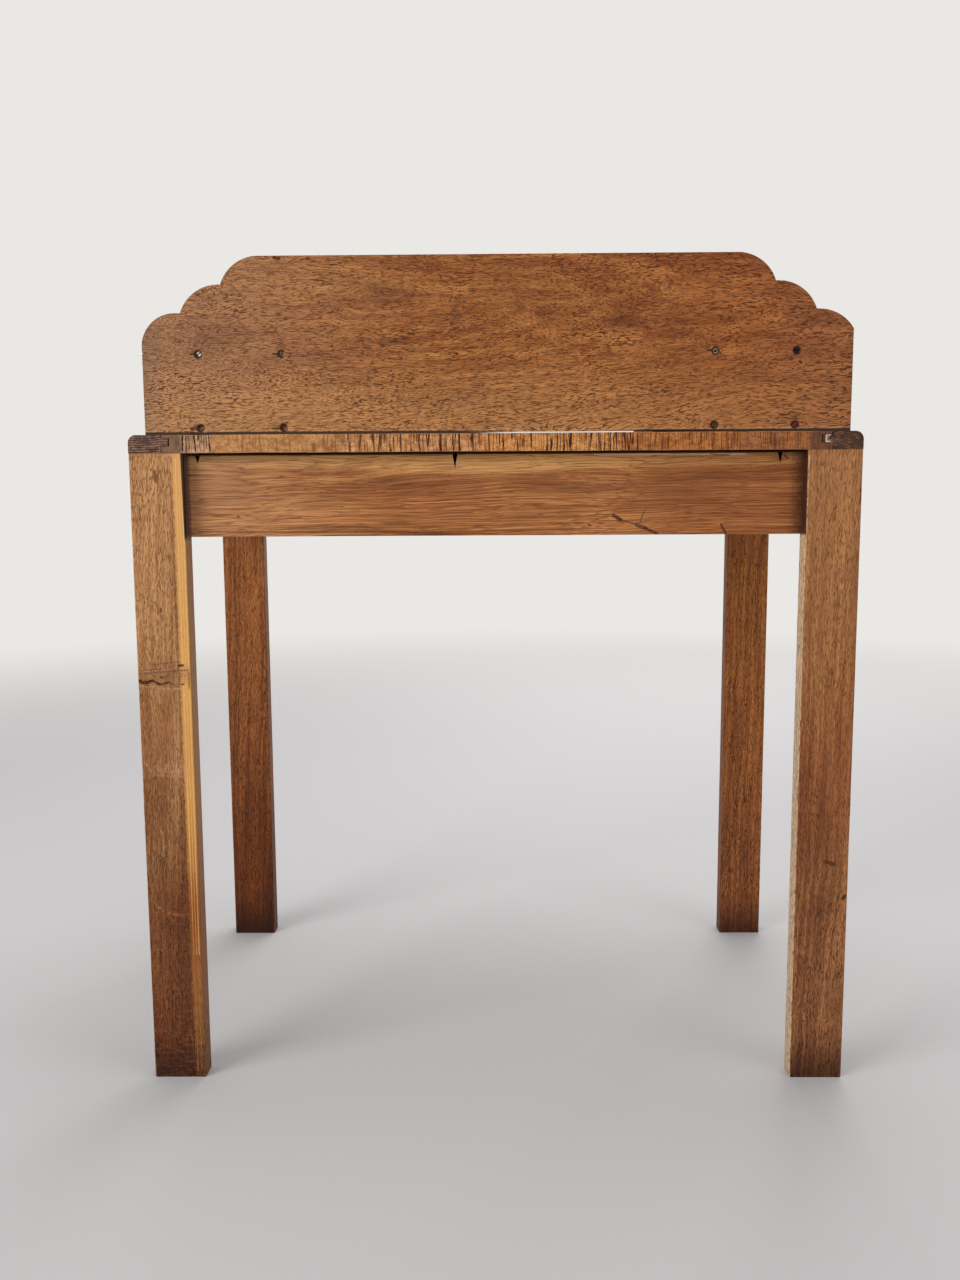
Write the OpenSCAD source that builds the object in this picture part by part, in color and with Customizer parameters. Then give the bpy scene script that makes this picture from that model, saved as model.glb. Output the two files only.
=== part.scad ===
// Small oak console desk: four flat board legs, four rails, a glued top with tongued edge strips,
// and a stepped backboard screwed from behind to two small drawer cases.
// Millimetres, +Z up. The origin is on the floor under the middle of the desk.
// -Y is the side where the backboard's plain rear face shows, +Y is the sitter's side.

/* [Desk] */
// Width over the legs and the top
desk_w = 800; // [760:5:900]
// Depth over the legs and the top
desk_d = 480; // [440:5:560]
// Height of the desktop
desk_h = 742; // [700:2:780]

/* [Legs] */
// Width of a leg board, along the desk's width
leg_w = 60; // [54:1:66]
// Thickness of a leg board, along the desk's depth
leg_t = 27; // [25:1:32]
// Rounding of a leg's long edges
leg_round = 2; // [1:0.5:4]

/* [Rails] */
// Height of all four rails
rail_h = 90; // [74:2:110]
// Thickness of the rails
rail_t = 20; // [18:1:22]
// Gap between the rails and the underside of the top
rail_gap = 2; // [1:0.5:4]
// How far the long rails' outer faces lie behind the legs' outer faces
rail_recess = 17; // [14:1:19]
// Length of a long rail's end that is let into the back of a leg
rail_lap = 25; // [18:1:26]
// Thickness of the tenons on the side rails
tenon_t = 10; // [8:1:12]
// Length of the tenons on the side rails
tenon_l = 16; // [10:1:20]
// Shoulder above and below each tenon
tenon_shoulder = 12; // [8:1:16]
// Side of the glue blocks in the corners
block_side = 36; // [24:2:44]
// Height of the glue blocks
block_h = 64; // [40:2:70]

/* [Top] */
// Thickness of the top
top_t = 20; // [18:1:25]
// Width of the edge strips
strip_w = 36; // [28:1:44]
// Rounding of the edge strips' upper outer edge
strip_round = 9; // [4:1:12]
// Length of the tongues on the edge strips
tongue_l = 8; // [6:1:10]
// Thickness of the tongues
tongue_t = 8.5; // [6:0.5:9]
// Height of the tongues' middle above the underside of the top
tongue_z = 12; // [9:0.5:12.5]
// Spare depth of the groove past the tongue
groove_spare = 1.4; // [0.5:0.1:2.5]
// Open line between a strip's shoulder and the panel
shoulder_gap = 0.6; // [0.2:0.1:0.9]
// Widths of the panel's second, third, fourth and fifth boards
board_widths = [147, 146, 152, 133]; // [120:1:160]
// Place of the joint between the third and fourth boards, from the middle of the desk
mid_joint_x = -16; // [-30:1:30]

/* [Backboard] */
// Height of the backboard's upper edge above the desktop
back_h = 188; // [170:1:210]
// Thickness of the backboard
back_t = 18; // [14:1:22]
// Inset of the backboard's left end from the desk's end
back_in_left = 20; // [8:1:30]
// Inset of the backboard's right end from the desk's end
back_in_right = 15; // [8:1:30]
// Radius of the stepped lobes
lobe_r = 43.5; // [42:0.5:46]
// Width of a lobe, from the end of its flat to the notch
lobe_w = 41.2; // [38:0.2:41.6]
// Flat stretch at the head of each lower lobe
lobe_flat = 3; // [1:0.5:8]
// Width of the top flat's left side, from the board's left end
top_flat_left = 128; // [120:1:150]
// Width of the top flat's right side, from the board's right end
top_flat_right = 125.5; // [120:0.5:150]
// Radius of the rounded left shoulder
shoulder_r = 36; // [20:1:39]
// Height of the open line under the backboard's middle
light_gap = 1.6; // [0.6:0.1:2]
// Place where the open line starts, from the backboard's left end
light_in = 345; // [300:5:380]
// Place where the open line has its full height, from the backboard's left end
light_full = 405; // [390:5:480]
// Place where the open line ends, from the backboard's right end
light_out = 84; // [60:1:120]

/* [Drawer cases] */
// Width of each case, from the backboard's end
case_w = 210; // [190:1:230]
// Height of each case
case_h = 92.5; // [80:0.5:100]
// Depth of each case, in front of the backboard
case_d = 200; // [160:2:240]
// Thickness of the cases' top and bottom boards
case_board_t = 14; // [12:1:16]
// Thickness of the cases' side boards
case_side_t = 12; // [9:1:14]
// Depth that the side boards are let into the top and bottom boards
case_rabbet = 5; // [3:0.5:7]

/* [Drawers] */
// Thickness of a drawer's front
drawer_front_t = 15; // [12:1:20]
// Thickness of a drawer's sides and back
drawer_side_t = 8; // [7:0.5:10]
// Thickness of a drawer's bottom
drawer_bottom_t = 4; // [3:0.5:5]
// Depth of the grooves for a drawer's bottom
drawer_groove = 4; // [2.5:0.5:5]
// Length of the space behind a closed drawer, which the stops fill
stop_t = 12; // [8:1:20]
// Gap at each side of a drawer
drawer_gap_side = 0.8; // [0.4:0.1:1.5]
// Gap above a drawer
drawer_gap_top = 1; // [0.5:0.1:2]
// Gap under and behind a drawer
run_gap = 0.3; // [0.2:0.05:0.5]
// Diameter of a knob's head
knob_d = 20; // [16:1:26]
// Length of a knob in front of the drawer
knob_l = 19; // [15:1:24]
// Thickness of a knob's head
knob_head_t = 10; // [7:0.5:12]
// Diameter of a knob's dowel
dowel_d = 8; // [5:0.5:9]
// Length of a knob's dowel, inside the drawer's front
dowel_l = 10; // [6:0.5:11]

/* [Screws] */
// Diameter of the backboard and rail screws' shanks
screw_d = 4; // [3:0.5:5]
// Diameter of the backboard and rail screws' heads
screw_head_d = 8; // [7:0.5:9]
// Length of the backboard screws
back_screw_l = 38; // [30:1:50]
// Places of the backboard screws from the board's left end
screw_in_left = [60.5, 151]; // [30:0.5:170]
// Places of the backboard screws from the board's right end
screw_in_right = [60, 147]; // [30:0.5:170]
// Depth of the backboard screws' heads below the board's rear face
back_screw_sink = 1.4; // [0.3:0.1:2]
// Spare width of the holes round the backboard screws' heads
back_screw_room = 0.6; // [0:0.1:1]
// Turns of the backboard screws' slots, from left to right, the lower screw of each pair first
slot_turns = [150, 60, 45, 20, 35, 75, 130, 110]; // [0:5:175]
// Length of the rail screws
rail_screw_l = 31; // [28:1:33]
// Diameter of the slanted top screws' shanks
pocket_screw_d = 2.6; // [2:0.2:3.2]
// Diameter of the slanted top screws' heads
pocket_head_d = 5; // [4.4:0.2:5.6]
// Slant of the top screws from upright
pocket_slant = 40; // [34:1:44]
// Place of the rear rail's left pocket, from the desk's left end
pocket_in_left = 72; // [70:1:120]
// Place of the rear rail's middle pocket, from the middle of the desk
pocket_mid = -43.5; // [-60:0.5:60]
// Place of the rear rail's right pocket, from the desk's right end
pocket_in_right = 86; // [74:1:120]
// Places of the front rail's outer pockets, from the desk's ends
pocket_in_front = 100; // [98:1:140]
// Depths of the rear rail's pockets below its upper edge
pocket_deep = [9.5, 16.5, 13]; // [9:0.5:18]
// Width of a pocket at the rail's upper edge
pocket_w = 5.6; // [4:0.2:7]
// How far the top screws reach into the top
pocket_bite = 13; // [9:1:15]

/* [Hidden] */
$fn = 48;

// glued joints are cut this much larger than what they hold
glue_fit = 0.1;
// cuts run this far past the faces that they open
over = 1;

half_w = desk_w / 2;
half_d = desk_d / 2;
leg_h = desk_h - top_t;
rail_z1 = leg_h - rail_gap;
rail_z0 = rail_z1 - rail_h;
leg_in_x = half_w - leg_w;
leg_in_y = half_d - leg_t;
rail_end_x = leg_in_x + rail_lap;
rail_out_y = half_d - rail_recess;
rail_in_y = rail_out_y - rail_t;
side_rail_x = rail_end_x + rail_t / 2;
tenon_z0 = rail_z0 + tenon_shoulder;
tenon_z1 = rail_z1 - tenon_shoulder;

panel_half_w = half_w - strip_w;
panel_front_y = half_d - strip_w;
panel_left_x = -panel_half_w + shoulder_gap;
panel_right_x = panel_half_w - shoulder_gap;
groove_l = tongue_l + groove_spare - shoulder_gap;
// the first and last boards take what the others leave
board_x = [
  panel_left_x,
  mid_joint_x - board_widths[1] - board_widths[0],
  mid_joint_x - board_widths[1],
  mid_joint_x,
  mid_joint_x + board_widths[2],
  mid_joint_x + board_widths[2] + board_widths[3],
  panel_right_x
];

back_x0 = -half_w + back_in_left;
back_x1 = half_w - back_in_right;
back_w = back_x1 - back_x0;
back_y = -half_d + back_t;
// each lower step of the backboard starts this much further out and this much lower
step_w = lobe_w + lobe_flat;
step_h = lobe_r - sqrt(lobe_r * lobe_r - lobe_w * lobe_w);

case_front_y = back_y + case_d;
drawer_z0 = desk_h + case_board_t + run_gap;
drawer_h = case_h - 2 * case_board_t - run_gap - drawer_gap_top;
drawer_u0 = case_side_t + drawer_gap_side;
drawer_w = case_w - 2 * drawer_u0;
drawer_back_y = back_y + stop_t;
drawer_lap = drawer_front_t / 2;
// the drawer's bottom runs in grooves this far above the lower edge
bottom_up = 6;
// sides and back are this much lower than the front
side_drop = 3;
back_drop = 8;
knob_foot_t = 2;
// the stop blocks behind each drawer
stop_w = 16;
stop_h = 12;

screw_r = screw_d / 2;
head_r = screw_head_d / 2;
// height of a countersunk head, with a 45 degree cone
head_h = head_r - screw_r;
head_sink = 0.3;
slot_w = 1.1;
slot_deep = 1.2;
screw_tip_r = 0.4;

pocket_r = pocket_screw_d / 2;
pocket_head_r = pocket_head_d / 2;
pocket_head_h = 1.4;
// the heads sit this far behind the rail's face and this far below its upper edge
pocket_in = 7;
pocket_seat = 5;
// a pocket's notch is this deep
notch_deep = 9;
pocket_screw_l = (rail_gap + pocket_bite + pocket_seat) / cos(pocket_slant);

// mirrors a piece drawn at the back left corner to the corner asked for
module at_corner(right, front) {
  mirror([right ? 1 : 0, 0, 0]) mirror([0, front ? 1 : 0, 0]) children();
}

// a rectangle from the origin with all four corners rounded
module rounded_rectangle(w, d, r) {
  translate([r, 0]) square([w - 2 * r, d]);
  translate([0, r]) square([w, d - 2 * r]);
  for (x = [r, w - r], y = [r, d - r]) translate([x, y]) circle(r);
}

// a countersunk slotted wood screw: the head's flat face lies at the origin and it points along +Y
module slotted_screw(length) {
  difference() {
    rotate([-90, 0, 0]) union() {
      cylinder(h = head_h, r1 = head_r, r2 = screw_r);
      cylinder(h = length - screw_d, r = screw_r);
      translate([0, 0, length - screw_d]) cylinder(h = screw_d, r1 = screw_r, r2 = screw_tip_r);
    }
    translate([-slot_w / 2, -over, -head_r - over]) cube([slot_w, slot_deep + over, 2 * (head_r + over)]);
  }
}

// the hole that a slotted screw fills, with its countersink and the sink of its head
module slotted_screw_hole(length, sink = head_sink, room = 0) {
  rotate([-90, 0, 0]) {
    translate([0, 0, -sink - over]) cylinder(h = sink + over, r = head_r + glue_fit + room);
    cylinder(h = head_h + glue_fit, r1 = head_r + glue_fit, r2 = screw_r);
    cylinder(h = length + glue_fit, r = screw_r + glue_fit);
  }
}

// places of the screws that hold a long rail's end in the back left leg
module at_rail_screws() {
  for (z = [rail_z0 + rail_h / 4, rail_z1 - rail_h / 4])
    translate([-leg_in_x - rail_lap / 2, -rail_in_y, z])
      rotate([0, 0, 180]) translate([0, head_sink, 0]) children();
}

// places of the backboard's screws, lower and upper row, each with its own turn
module at_back_screws() {
  xs = [
    back_x0 + screw_in_left[0], back_x0 + screw_in_left[1],
    back_x1 - screw_in_right[1], back_x1 - screw_in_right[0]
  ];
  zs = [desk_h + case_board_t / 2, desk_h + case_h - case_board_t / 2];
  for (i = [0 : 3], j = [0, 1])
    translate([xs[i], -half_d + back_screw_sink, zs[j]]) rotate([0, slot_turns[2 * i + j], 0]) children();
}

// all pockets: place along the desk, depth of the notch, and the y of the face that they open on
pockets = [
  [-half_w + pocket_in_left, pocket_deep[0], -rail_out_y],
  [pocket_mid, pocket_deep[1], -rail_out_y],
  [half_w - pocket_in_right, pocket_deep[2], -rail_out_y],
  [-half_w + pocket_in_front, pocket_deep[2], rail_in_y],
  [0, pocket_deep[2], rail_in_y],
  [half_w - pocket_in_front, pocket_deep[2], rail_in_y]
];

// a slanted screw's frame: its seat at the origin, pointing up along +Z
module at_pocket(p) {
  translate([p[0], p[2] + pocket_in, rail_z1 - pocket_seat]) rotate([-pocket_slant, 0, 0]) children();
}

// the cut of one pocket: a pointed notch from the face inwards, the head's bore and the shank's bore
module pocket_cut(p) {
  half = pocket_w / 2;
  translate([p[0], p[2] - over, rail_z1]) rotate([-90, 0, 0]) linear_extrude(notch_deep + over)
    polygon([[-half, -over], [half, -over], [half, 0], [0, p[1]], [-half, 0]]);
  at_pocket(p) {
    translate([0, 0, -pocket_head_h - over])
      cylinder(h = pocket_head_h + over, r = pocket_head_r + glue_fit);
    cylinder(h = pocket_screw_l + glue_fit, r = pocket_r + glue_fit);
  }
}

module leg() {
  color("peru") difference() {
    translate([-half_w, -half_d, 0]) linear_extrude(leg_h) rounded_rectangle(leg_w, leg_t, leg_round);
    // housing for the long rail's end, open towards the back, the inner side and the top
    translate([-rail_end_x - glue_fit, -rail_out_y - glue_fit, rail_z0 - glue_fit])
      cube([rail_lap + over, leg_t, rail_h + rail_gap + over]);
    // mortise for the side rail's tenon
    translate([-side_rail_x - tenon_t / 2 - glue_fit, -leg_in_y - tenon_l - glue_fit, tenon_z0 - glue_fit])
      cube([tenon_t + 2 * glue_fit, tenon_l + over, tenon_z1 - tenon_z0 + 2 * glue_fit]);
    at_rail_screws() slotted_screw_hole(rail_screw_l);
  }
}

module long_rail(front) {
  color("sienna") difference() {
    translate([-rail_end_x, front ? rail_in_y : -rail_out_y, rail_z0]) cube([2 * rail_end_x, rail_t, rail_h]);
    for (right = [false, true]) at_corner(right, front) at_rail_screws() slotted_screw_hole(rail_screw_l);
    for (p = pockets) if ((p[2] > 0) == front) pocket_cut(p);
  }
}

module side_rail() {
  color("sienna") {
    translate([-side_rail_x - rail_t / 2, -leg_in_y, rail_z0]) cube([rail_t, 2 * leg_in_y, rail_h]);
    translate([-side_rail_x - tenon_t / 2, -leg_in_y - tenon_l, tenon_z0])
      cube([tenon_t, 2 * (leg_in_y + tenon_l), tenon_z1 - tenon_z0]);
  }
}

module corner_block() {
  color("burlywood") translate([-rail_end_x, -rail_in_y, (rail_z0 + rail_z1 - block_h) / 2])
    linear_extrude(block_h) polygon([[0, 0], [block_side, 0], [0, block_side]]);
}

module top_board(i) {
  x0 = board_x[i];
  x1 = board_x[i + 1];
  groove_z = leg_h + tongue_z - tongue_t / 2 - glue_fit;
  groove_h = tongue_t + 2 * glue_fit;
  color(i % 2 == 0 ? "tan" : "burlywood") difference() {
    translate([x0, -half_d, leg_h]) cube([x1 - x0, half_d + panel_front_y - shoulder_gap, top_t]);
    // grooves for the edge strips' tongues, round the outside of the whole panel
    translate([x0 - over, panel_front_y - shoulder_gap - groove_l, groove_z])
      cube([x1 - x0 + 2 * over, groove_l + over, groove_h]);
    translate([panel_left_x - over, -half_d - over, groove_z]) cube([groove_l + over, desk_d, groove_h]);
    translate([panel_right_x - groove_l, -half_d - over, groove_z]) cube([groove_l + over, desk_d, groove_h]);
    for (p = pockets) if (p[0] > x0 - over && p[0] < x1 + over && p[2] < 0) pocket_cut(p);
  }
}

// section of an edge strip: from its outer face inwards, and up from its underside
module strip_section() {
  difference() {
    square([strip_w, top_t]);
    translate([0, top_t - strip_round]) difference() {
      translate([-over, 0]) square([strip_round + over, strip_round + over]);
      translate([strip_round, 0]) circle(strip_round);
    }
  }
  translate([strip_w - over, tongue_z - tongue_t / 2]) square([tongue_l + over, tongue_t]);
}

// the left strip, mitred at the front
module side_strip() {
  tongue_x = -half_w + strip_w + tongue_l;
  tongue_y = panel_front_y - tongue_l - glue_fit;
  color("dimgray") intersection() {
    translate([-half_w, half_d, leg_h]) rotate([90, 0, 0]) linear_extrude(desk_d) strip_section();
    translate([0, 0, leg_h - over]) linear_extrude(top_t + 2 * over) polygon([
      [-half_w, -half_d], [tongue_x, -half_d], [tongue_x, tongue_y],
      [-panel_half_w, tongue_y], [-panel_half_w, panel_front_y], [-half_w, half_d]
    ]);
  }
}

// the front strip, mitred at both ends, with the bores of the screws that hold it down
module front_strip() {
  color("dimgray") difference() {
    intersection() {
      translate([-half_w, half_d, leg_h]) rotate([90, 0, 90]) linear_extrude(desk_w)
        mirror([1, 0]) strip_section();
      translate([0, 0, leg_h - over]) linear_extrude(top_t + 2 * over) polygon([
        [-half_w, half_d], [half_w, half_d], [panel_half_w, panel_front_y],
        [panel_half_w, panel_front_y - tongue_l], [-panel_half_w, panel_front_y - tongue_l],
        [-panel_half_w, panel_front_y]
      ]);
    }
    for (p = pockets) if (p[2] > 0) pocket_cut(p);
  }
}

// the stepped outline, drawn from the board's lower left corner
module stepped_outline() {
  intersection() {
    square([back_w, back_h]);
    union() {
      for (i = [0 : 2]) {
        z = back_h - i * step_h;
        x0 = top_flat_left - i * step_w;
        x1 = back_w - top_flat_right + i * step_w;
        r0 = i == 2 ? shoulder_r : lobe_r;
        left = i == 2 ? r0 : x0;
        translate([left, 0]) square([x1 - left, z]);
        translate([left, z - r0]) circle(r0, $fn = 128);
        translate([x1, z - lobe_r]) circle(lobe_r, $fn = 128);
      }
      square([back_w, back_h - 2 * step_h - lobe_r]);
    }
  }
}

module backboard() {
  color("chocolate") difference() {
    translate([back_x0, back_y, desk_h]) rotate([90, 0, 0]) linear_extrude(back_t) stepped_outline();
    // the lower edge is a little hollow, so light shows under its middle
    translate([back_x0, back_y + over, desk_h]) rotate([90, 0, 0]) linear_extrude(back_t + 2 * over)
      polygon([
        [light_in, -over], [light_in, 0], [light_full, light_gap],
        [back_w - case_w, light_gap], [back_w - light_out, 0], [back_w - light_out, -over]
      ]);
    at_back_screws() slotted_screw_hole(back_screw_l, back_screw_sink, back_screw_room);
  }
}

module backboard_screws() {
  color("dimgray") at_back_screws() slotted_screw(back_screw_l);
}

module rail_screws() {
  color("dimgray") for (right = [false, true], front = [false, true])
    at_corner(right, front) at_rail_screws() slotted_screw(rail_screw_l);
}

module top_screws() {
  point_z = pocket_screw_l - pocket_screw_d;
  color("dimgray") for (p = pockets) at_pocket(p) {
    translate([0, 0, -pocket_head_h]) cylinder(h = pocket_head_h, r = pocket_head_r);
    translate([0, 0, -over / 2]) cylinder(h = point_z + over / 2, r = pocket_r);
    translate([0, 0, point_z]) cylinder(h = pocket_screw_d, r1 = pocket_r, r2 = screw_tip_r);
  }
}

// a case's own frame: x runs inwards from the backboard's end, z up from the desktop
module at_case(right) {
  translate([right ? back_x1 : back_x0, 0, desk_h]) mirror([right ? 1 : 0, 0, 0]) children();
}

// a case's top or bottom board, with rabbets at both ends for the side boards
module case_board(right, top) {
  z0 = top ? case_h - case_board_t : 0;
  rabbet_z = top ? z0 - over : z0 + case_board_t - case_rabbet - glue_fit;
  color("chocolate") difference() {
    at_case(right) difference() {
      translate([0, back_y, z0]) cube([case_w, case_d, case_board_t]);
      for (x = [-over, case_w - case_side_t - glue_fit]) translate([x, back_y - over, rabbet_z])
        cube([case_side_t + glue_fit + over, case_d + 2 * over, case_rabbet + glue_fit + over]);
    }
    at_back_screws() slotted_screw_hole(back_screw_l, back_screw_sink, back_screw_room);
  }
}

module case_side(right, inner) {
  side_h = case_h - 2 * case_board_t + 2 * case_rabbet;
  color("chocolate") at_case(right)
    translate([inner ? case_w - case_side_t : 0, back_y, case_board_t - case_rabbet])
      cube([case_side_t, case_d, side_h]);
}

// two small blocks on the case's bottom, against the backboard, which the closed drawer meets
module drawer_stops(right) {
  color("burlywood") at_case(right)
    for (x = [case_side_t + stop_w, case_w - case_side_t - 2 * stop_w])
      translate([x, back_y, case_board_t]) cube([stop_w, stop_t - run_gap, stop_h]);
}

// a drawer's own frame: x runs inwards from its outer side, z up from its lower edge
module at_drawer(right) {
  at_case(right) translate([drawer_u0, 0, drawer_z0 - desk_h]) children();
}

// the space that the drawer's bottom fills, larger by fit, and run past the drawer's back
module drawer_bottom_space(fit, past) {
  side_x = drawer_side_t - drawer_groove - fit;
  front_y = case_front_y - drawer_front_t + drawer_groove + fit;
  translate([side_x, drawer_back_y - past, bottom_up - fit])
    cube([drawer_w - 2 * side_x, front_y - drawer_back_y + past, drawer_bottom_t + 2 * fit]);
}

module drawer_front(right) {
  color("peru") at_drawer(right) difference() {
    translate([0, case_front_y - drawer_front_t, 0]) cube([drawer_w, drawer_front_t, drawer_h]);
    for (x = [-over, drawer_w - drawer_side_t - glue_fit])
      translate([x, case_front_y - drawer_front_t - over, -over])
        cube([drawer_side_t + glue_fit + over, drawer_lap + glue_fit + over, drawer_h + 2 * over]);
    drawer_bottom_space(glue_fit, over);
    translate([drawer_w / 2, case_front_y + over, drawer_h / 2]) rotate([90, 0, 0])
      cylinder(h = dowel_l + glue_fit + over, r = dowel_d / 2 + glue_fit);
  }
}

module drawer_side(right, inner) {
  color("burlywood") at_drawer(right) difference() {
    translate([inner ? drawer_w - drawer_side_t : 0, drawer_back_y, 0])
      cube([drawer_side_t, case_front_y - drawer_front_t + drawer_lap - drawer_back_y, drawer_h - side_drop]);
    drawer_bottom_space(glue_fit, over);
  }
}

module drawer_back(right) {
  z0 = bottom_up + drawer_bottom_t;
  color("burlywood") at_drawer(right)
    translate([drawer_side_t, drawer_back_y, z0])
      cube([drawer_w - 2 * drawer_side_t, drawer_side_t, drawer_h - back_drop - z0]);
}

module drawer_bottom(right) {
  color("wheat") at_drawer(right) drawer_bottom_space(0, 0);
}

// a turned knob with its dowel, its section drawn from its axis outwards
module drawer_knob(right) {
  head_round = knob_head_t / 2;
  color("saddlebrown") at_drawer(right) translate([drawer_w / 2, case_front_y, drawer_h / 2])
    rotate([-90, 0, 0]) rotate_extrude() {
      translate([0, -dowel_l]) square([dowel_d / 2, dowel_l + over]);
      square([knob_d / 3, knob_foot_t]);
      square([knob_d / 4, knob_l - head_round]);
      translate([0, knob_l - knob_head_t]) square([knob_d / 2 - head_round, knob_head_t]);
      translate([knob_d / 2 - head_round, knob_l - head_round]) circle(head_round);
    }
}

at_corner(false, false) leg();  // leg_back_left
at_corner(true, false) leg();  // leg_back_right
at_corner(false, true) leg();  // leg_front_left
at_corner(true, true) leg();  // leg_front_right
long_rail(false);  // rail_back
long_rail(true);  // rail_front
at_corner(false, false) side_rail();  // rail_left
at_corner(true, false) side_rail();  // rail_right
at_corner(false, false) corner_block();  // corner_block_back_left
at_corner(true, false) corner_block();  // corner_block_back_right
at_corner(false, true) corner_block();  // corner_block_front_left
at_corner(true, true) corner_block();  // corner_block_front_right
top_board(0);  // top_board_1
top_board(1);  // top_board_2
top_board(2);  // top_board_3
top_board(3);  // top_board_4
top_board(4);  // top_board_5
top_board(5);  // top_board_6
at_corner(false, false) side_strip();  // edge_strip_left
at_corner(true, false) side_strip();  // edge_strip_right
front_strip();  // edge_strip_front
backboard();
backboard_screws();
rail_screws();
top_screws();
case_board(false, false);  // case_left_bottom
case_board(false, true);  // case_left_top
case_side(false, false);  // case_left_outer_side
case_side(false, true);  // case_left_inner_side
case_board(true, false);  // case_right_bottom
case_board(true, true);  // case_right_top
case_side(true, false);  // case_right_outer_side
case_side(true, true);  // case_right_inner_side
drawer_stops(false);  // drawer_stops_left
drawer_stops(true);  // drawer_stops_right
drawer_front(false);  // drawer_left_front
drawer_side(false, false);  // drawer_left_outer_side
drawer_side(false, true);  // drawer_left_inner_side
drawer_back(false);  // drawer_left_back
drawer_bottom(false);  // drawer_left_bottom
drawer_knob(false);  // drawer_left_knob
drawer_front(true);  // drawer_right_front
drawer_side(true, false);  // drawer_right_outer_side
drawer_side(true, true);  // drawer_right_inner_side
drawer_back(true);  // drawer_right_back
drawer_bottom(true);  // drawer_right_bottom
drawer_knob(true);  // drawer_right_knob
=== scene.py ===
import math

import bmesh
import bpy
from mathutils import Matrix, Vector, noise


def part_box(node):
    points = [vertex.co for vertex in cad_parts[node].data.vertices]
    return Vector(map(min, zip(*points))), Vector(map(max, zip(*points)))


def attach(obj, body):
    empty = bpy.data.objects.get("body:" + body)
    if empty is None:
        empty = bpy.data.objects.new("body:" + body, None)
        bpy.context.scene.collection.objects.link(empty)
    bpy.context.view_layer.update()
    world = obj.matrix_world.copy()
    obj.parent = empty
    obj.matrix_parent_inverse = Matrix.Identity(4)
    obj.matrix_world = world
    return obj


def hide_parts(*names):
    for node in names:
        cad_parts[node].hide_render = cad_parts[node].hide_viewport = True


noise.seed_set(11)
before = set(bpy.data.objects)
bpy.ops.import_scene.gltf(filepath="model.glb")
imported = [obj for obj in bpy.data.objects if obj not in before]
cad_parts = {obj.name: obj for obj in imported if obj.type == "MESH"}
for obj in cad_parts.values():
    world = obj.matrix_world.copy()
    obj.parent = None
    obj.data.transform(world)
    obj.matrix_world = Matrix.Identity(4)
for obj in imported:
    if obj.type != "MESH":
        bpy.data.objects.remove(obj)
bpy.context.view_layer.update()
scene = bpy.context.scene
scene.view_settings.view_transform = "Standard"

# The camera stands behind the desk, just below the desktop's height, and looks slightly down.
# Its focal length is in pixels of the 960 by 1280 image, and the lens follows from it.
image_high = 1280
focal_px = 1234.5
camera_place = Vector((0.0011, -1.5979, 0.7029))
camera_yaw = -0.0132
camera_down = 0.1374
camera_roll = 0.0058
camera_data = bpy.data.cameras.new("camera")
camera_data.sensor_fit = "VERTICAL"
camera_data.sensor_height = 36.0
camera_data.lens = camera_data.sensor_height * focal_px / image_high
camera_data.clip_start = 0.05
camera = bpy.data.objects.new("camera", camera_data)
scene.collection.objects.link(camera)
camera.matrix_world = (
    Matrix.Translation(camera_place)
    @ Matrix.Rotation(-camera_yaw, 4, "Z")
    @ Matrix.Rotation(math.pi / 2 - camera_down, 4, "X")
    @ Matrix.Rotation(-camera_roll, 4, "Z")
)
scene.camera = camera


# The floor is a plain pale sheet. Some way from the desk it fades, for the camera and in gloss
# alone, into the plain pale backdrop that the world shows.
def srgb(red, green, blue):
    """a colour as a picture editor names it, 0 to 255, in the renderer's linear values"""
    parts = [c / 255 for c in (red, green, blue)]
    return (*[c / 12.92 if c <= 0.04045 else ((c + 0.055) / 1.055) ** 2.4 for c in parts], 1.0)


def wire(tree, kind, inputs=None, **settings):
    """adds one shader node, sets it up, and gives its inputs values or links"""
    node = tree.nodes.new("ShaderNode" + kind)
    for name, value in settings.items():
        setattr(node, name, value)
    for name, value in (inputs or {}).items():
        if isinstance(value, bpy.types.NodeSocket):
            tree.links.new(value, node.inputs[name])
        else:
            node.inputs[name].default_value = value
    return node


def calc(tree, operation, *values):
    """one step of arithmetic"""
    return wire(tree, "Math", dict(enumerate(values)), operation=operation).outputs[0]


def times(tree, *values):
    """the product of two or more values"""
    product = values[0]
    for value in values[1:]:
        product = calc(tree, "MULTIPLY", product, value)
    return product


def flip(tree, value):
    """1 where the value is 0, and 0 where it is 1"""
    return calc(tree, "SUBTRACT", 1.0, value)


def vector(tree, operation, *values):
    """one step of vector arithmetic"""
    return wire(tree, "VectorMath", dict(enumerate(values)), operation=operation).outputs[0]


def length(tree, value):
    return wire(tree, "VectorMath", {0: value}, operation="LENGTH").outputs["Value"]


def span(tree, value, low, high):
    """0 below low, 1 above high, and a smooth rise between them"""
    inputs = {"Value": value, "From Min": low, "From Max": high}
    return wire(tree, "MapRange", inputs, interpolation_type="SMOOTHSTEP").outputs["Result"]


def seen_ray(tree):
    """1 for what the camera sees, also in gloss and through glass, and 0 for light on the desk"""
    ray = wire(tree, "LightPath").outputs
    seen = calc(tree, "MAXIMUM", ray["Is Camera Ray"], ray["Is Glossy Ray"])
    return calc(tree, "MAXIMUM", seen, ray["Is Transmission Ray"])


def blank_look(name):
    """a new material and its empty shader tree"""
    look = bpy.data.materials.new(name)
    look.use_nodes = True
    look.node_tree.nodes.clear()
    return look, look.node_tree


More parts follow.
